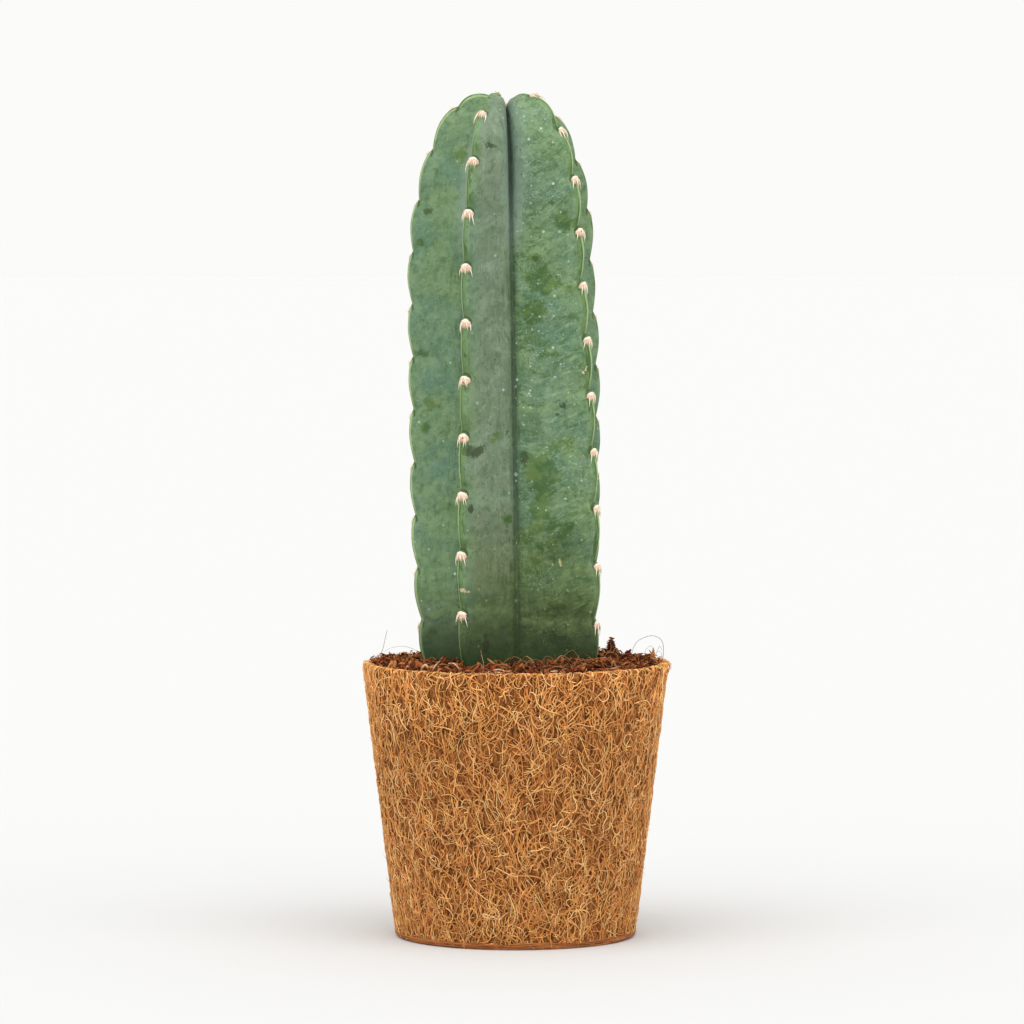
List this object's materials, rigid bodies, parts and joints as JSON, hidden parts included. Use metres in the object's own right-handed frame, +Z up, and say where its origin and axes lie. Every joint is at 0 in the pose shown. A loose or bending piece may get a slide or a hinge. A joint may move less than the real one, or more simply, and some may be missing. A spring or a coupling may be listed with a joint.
{
  "type": "potted tall cactus",
  "caption": "Tall upright columnar cactus with deep ribs and small woolly spine pads, growing in a tapered pot of matted coconut fibre.",
  "frame": {"origin": "middle of the pot's flat underside", "axes": "+Z up along the pot's axis, -Y towards the viewer of the picture, +X to that viewer's right"},
  "size_m": [0.13, 0.13, 0.3609],
  "materials": {
    "coir_fibre": "matted coconut fibre, dry and rough",
    "husk_medium": "loose coconut-husk crumbs and fibres, matt",
    "cactus_flesh": "waxy green skin with a faint bluish bloom"
  },
  "bodies": {
    "root": {"coir_pot": "coir_fibre", "growing_medium": "husk_medium", "cactus_stem": "cactus_flesh"}
  },
  "joints": []
}
